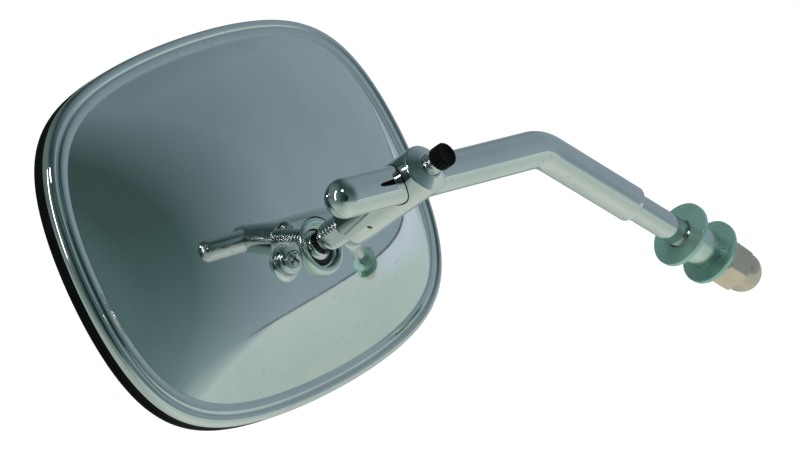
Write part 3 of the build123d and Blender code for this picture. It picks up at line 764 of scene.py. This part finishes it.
def build_nut():
    """Domed nut: six flats with turned corners below, a groove, then the cap that closes the end."""
    segments = 6 * 40
    rows = [[(0, 0, NUT_BORE_DEPTH)], circle(NUT_BORE_R, NUT_BORE_DEPTH, segments),
            circle(NUT_BORE_R, 0.5, segments), circle(NUT_BORE_R + 0.4, 0.0, segments)]
    corner_r = NUT_FLATS / 2 / math.cos(math.pi / 6)
    for index in range(0, 49):
        z = NUT_HEX_H * index / 48
        limit = min(NUT_CHAMFER_R + min(z, NUT_HEX_H - z) * NUT_CHAMFER_SLOPE, corner_r)
        row = []
        for step in range(segments):
            angle = TURN * step / segments
            local = (angle + math.pi / 6) % (math.pi / 3) - math.pi / 6
            flat = NUT_FLATS / 2 / math.cos(local)
            soft = min(flat, limit, corner_r - NUT_CORNER_TRIM)
            row.append((soft * math.cos(angle), soft * math.sin(angle), z))
        rows.append(row)
    rows.append(circle(NUT_DOME_R + 0.12, NUT_HEX_H + 0.02, segments))
    rows.append(circle(NUT_DOME_R - 0.05, NUT_HEX_H + 0.25, segments))
    waist_top = NUT_H - NUT_DOME_R
    rows.append(circle(NUT_DOME_R, NUT_HEX_H + 0.5, segments))
    for index in range(0, 30):
        angle = math.pi / 2 * index / 30
        rows.append(circle(NUT_DOME_R * math.cos(angle), waist_top + NUT_DOME_R * math.sin(angle), segments))
    rows.append([(0, 0, NUT_H)])
    turned = along(STUD, SLEEVE_L + WASHER_H + LOCK_H) @ Matrix.Rotation(math.radians(NUT_TURN), 4, "Z")
    obj = loft("cap_nut_domed", turned, rows, sharp=24)
    weigh_normals(obj)
    return obj


finish_piece(build_flat_washer("outer_washer_disc", -WASHER_H), "mount", zinc, "zinc", "outer_washer")
finish_piece(build_flat_washer("inner_washer_disc", SLEEVE_L), "clamp_washers", zinc, "zinc", "inner_washer")
sleeve_profile = [(WASHER_IN_R, 0.0), (SLEEVE_R, 0.0), (SLEEVE_R, SLEEVE_L), (WASHER_IN_R, SLEEVE_L)]
sleeve = lathe("spacer_tube", STUD, soften(sleeve_profile, 0.3, 4, closed=True), 160, wrap=True)
finish_piece(sleeve, "mount", zinc_pale, "zinc", "spacer_sleeve")
lock = build_split_ring("spring_washer", along(STUD, SLEEVE_L + WASHER_H), WASHER_IN_R, LOCK_R, LOCK_H,
                        LOCK_GAP, LOCK_RISE)
finish_piece(lock, "clamp_washers", zinc_pale, "zinc", "lock_washer")
finish_piece(build_nut(), "nut", nickel, "nickel", "cap_nut")


# ======== CAD nodes that stay ========

kept = {
    "mirror_glass": mirror,
    "backing_plate": board,
    "foam_pad": foam,
    "pressure_cup": steel,
    "wave_spring": steel,
    "retainer_plate": steel,
    "outer_seat": nylon,
    "inner_seat": nylon,
    "rod_bush": nylon,
    "clamp_pad": brass,
    "stud_lock_pin": blackened,
}
for node, made in kept.items():
    slots = frame["nodes"][node].data.materials
    if slots:
        slots[0] = made
    else:
        slots.append(made)


# ======== camera ========

VIEW_AZIMUTH, VIEW_ELEVATION, VIEW_ROLL = -49.5, 0.6, -24.7
VIEW_DISTANCE = 0.816
VIEW_LENS = 135.0
aim = head_centre + Vector((0.0227, -0.0269, -0.0202))
turn, lift = math.radians(VIEW_AZIMUTH), math.radians(VIEW_ELEVATION)
backward = Vector((math.sin(turn) * math.cos(lift), -math.cos(turn) * math.cos(lift), math.sin(lift)))
camera = bpy.data.objects.new("camera", bpy.data.cameras.new("camera"))
bpy.context.scene.collection.objects.link(camera)
camera.data.lens = VIEW_LENS
camera.data.clip_start = 0.01
camera.location = aim + backward * VIEW_DISTANCE
camera.rotation_mode = "QUATERNION"
level = (-backward).to_track_quat("-Z", "Y").to_matrix().to_4x4()
camera.rotation_quaternion = (level @ Matrix.Rotation(math.radians(VIEW_ROLL), 4, "Z")).to_quaternion()
bpy.context.scene.camera = camera
screen_right = level @ Matrix.Rotation(math.radians(VIEW_ROLL), 4, "Z") @ Vector((1, 0, 0))
screen_up = level @ Matrix.Rotation(math.radians(VIEW_ROLL), 4, "Z") @ Vector((0, 1, 0))


# ======== studio ========

def studio_direction(right, up, near):
    """A direction given as parts to the right, up and towards where the photographer stands."""
    return (screen_right * right + screen_up * up + backward * near).normalized()


def build_studio():
    """Soft studio surround, as the chrome sees it: a pale sheet under the mirror, a grey room above it,
    darker towards the photographer and to the left, a tall strip lamp and a small square one."""
    world = bpy.data.worlds.new("studio")
    bpy.context.scene.world = world
    world.use_nodes = True
    nodes = Nodes(world.node_tree)
    shown = world.node_tree.nodes["Background"]
    output = world.node_tree.nodes["World Output"]
    direction = nodes.add("ShaderNodeTexCoord").outputs["Generated"]

    def towards(vector):
        dot = nodes.add("ShaderNodeVectorMath", operation="DOT_PRODUCT")
        nodes.link(direction, dot.inputs[0])
        dot.inputs[1].default_value = vector
        return dot.outputs["Value"]

    height = towards(studio_direction(0.104, 0.94, 0.32))
    near = towards(backward)
    right = towards(screen_right)

    far_wall = nodes.ramp(height, [
        (0.0, (0.28, 0.36, 0.40)), (0.3, (0.27, 0.34, 0.385)), (0.5, (0.25, 0.325, 0.36)),
        (0.7, (0.215, 0.285, 0.32)), (0.85, (0.175, 0.245, 0.275)), (1.0, (0.14, 0.21, 0.23))])
    near_wall = nodes.ramp(height, [
        (0.0, (0.21, 0.30, 0.29)), (0.1, (0.155, 0.24, 0.235)), (0.2, (0.128, 0.20, 0.20)),
        (0.35, (0.095, 0.16, 0.16)), (0.5, (0.068, 0.125, 0.125)), (0.7, (0.050, 0.092, 0.088)),
        (1.0, (0.045, 0.080, 0.075))])
    room = nodes.mix(nodes.span(near, -0.05, 0.5, 0.0, 1.0), far_wall, near_wall)
    room = nodes.mix(nodes.span(near, 0.75, 0.95, 0.0, 0.5), room, (0.128, 0.21, 0.21))
    room = nodes.mix(nodes.span(near, 0.90, 0.96, 0.0, 1.0), room, (0.008, 0.014, 0.013))

    sheet = nodes.ramp(nodes.span(height, -1.0, 0.0, 0.0, 1.0), [
        (0.0, (0.66, 0.71, 0.64)), (0.4, (0.52, 0.60, 0.54)), (0.6, (0.46, 0.56, 0.515)),
        (0.9, (0.50, 0.60, 0.56)), (1.0, (0.53, 0.61, 0.59))])
    far_side = nodes.span(near, -0.45, -0.55, 0.0, 1.0)
    far_sheet = nodes.math("MULTIPLY", far_side, nodes.span(height, -0.13, -0.05, 0.0, 1.0))
    sheet = nodes.mix(far_sheet, sheet, (0.58, 0.66, 0.75))
    left = nodes.span(right, 0.3, -0.3, 0.0, 1.0)
    room = nodes.mix(left, room, (0.030, 0.055, 0.052))
    room = nodes.mix(nodes.span(right, -0.35, -0.75, 0.0, 1.0), room, (0.13, 0.19, 0.185))
    side_sheet = nodes.ramp(nodes.span(height, -1.0, 0.0, 0.0, 1.0), [
        (0.0, (0.42, 0.50, 0.45)), (0.45, (0.36, 0.44, 0.40)), (0.62, (0.20, 0.28, 0.26)),
        (1.0, (0.06, 0.10, 0.095))])
    sheet = nodes.mix(left, sheet, side_sheet)

    spread = nodes.span(near, 0.0, 0.25, 0.006, 0.20)
    below = nodes.math("SUBTRACT", nodes.span(near, 0.0, 0.25, 0.0, 0.02), height)
    below = nodes.math("DIVIDE", below, spread, clamp=True)
    colour = nodes.mix(below, room, sheet)
    edge = nodes.math("ABSOLUTE", nodes.math("SUBTRACT", height, 0.001))
    edge = nodes.math("MULTIPLY", nodes.span(edge, 0.002, 0.006, 1.0, 0.0), nodes.span(near, 0.05, 0.15, 1.0, 0.0))
    colour = nodes.mix(edge, colour, (0.006, 0.010, 0.010))
    colour = nodes.mix(nodes.span(near, -0.84, -0.93, 0.0, 1.0), colour, (0.27, 0.337, 0.352))

    lamps = ((studio_direction(-0.79, 0.16, 0.47), screen_up, 0.03, 0.36, 7.0),
             (studio_direction(-0.25, 0.62, 0.74), screen_up, 0.07, 0.07, 9.0))
    for place, long_way, half_width, half_length, power in lamps:
        across = place.cross(long_way).normalized()
        glow = nodes.math("GREATER_THAN", towards(place), 0.6)
        for way, half in ((across, half_width), (across.cross(place), half_length)):
            away = nodes.math("ABSOLUTE", towards(way))
            glow = nodes.math("MULTIPLY", glow, nodes.span(away, half, half + 0.015, 1.0, 0.0))
        glow = nodes.math("MULTIPLY", glow, power)
        lit = nodes.add("ShaderNodeCombineXYZ")
        for socket in lit.inputs:
            nodes.link(glow, socket)
        colour = nodes.mix(1.0, colour, lit.outputs[0], "ADD")
    nodes.link(colour, shown.inputs["Color"])

    backdrop = nodes.add("ShaderNodeBackground")
    backdrop.inputs["Color"].default_value = (1.0, 1.0, 1.0, 1.0)
    backdrop.inputs["Strength"].default_value = 1.05
    chooser = nodes.add("ShaderNodeMixShader")
    nodes.link(nodes.add("ShaderNodeLightPath").outputs["Is Camera Ray"], chooser.inputs[0])
    nodes.link(shown.outputs[0], chooser.inputs[1])
    nodes.link(backdrop.outputs[0], chooser.inputs[2])
    nodes.link(chooser.outputs[0], output.inputs["Surface"])


def build_floor():
    """Plain pale floor, well below the object, with a soft lamp overhead."""
    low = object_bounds()[0]
    z = low.z - FLOOR_DROP
    corners = [(x * FLOOR_HALF, y * FLOOR_HALF, z) for x, y in ((-1, -1), (1, -1), (1, 1), (-1, 1))]
    mesh = bpy.data.meshes.new("floor")
    mesh.from_pydata(corners, [], [(0, 1, 2, 3)])
    floor = new_object("floor", mesh)
    made, nodes, shader = material("pale_floor")
    tone = nodes.ramp(nodes.noise(3.0, 2.0, 0.5), [(0.3, (0.90, 0.90, 0.90)), (0.7, (0.93, 0.93, 0.93))])
    nodes.link(tone, shader.inputs["Base Color"])
    shader.inputs["Roughness"].default_value = 0.9
    mesh.materials.append(made)
    floor.visible_glossy = False
    lamp = bpy.data.objects.new("overhead", bpy.data.lights.new("overhead", "SUN"))
    lamp.data.energy = SUN_ENERGY
    lamp.data.angle = math.radians(SUN_ANGLE)
    lamp.visible_glossy = False
    lamp.rotation_euler = (math.radians(12), math.radians(-8), 0)
    bpy.context.scene.collection.objects.link(lamp)


build_studio()
build_floor()
bpy.context.scene.view_settings.view_transform = "Standard"
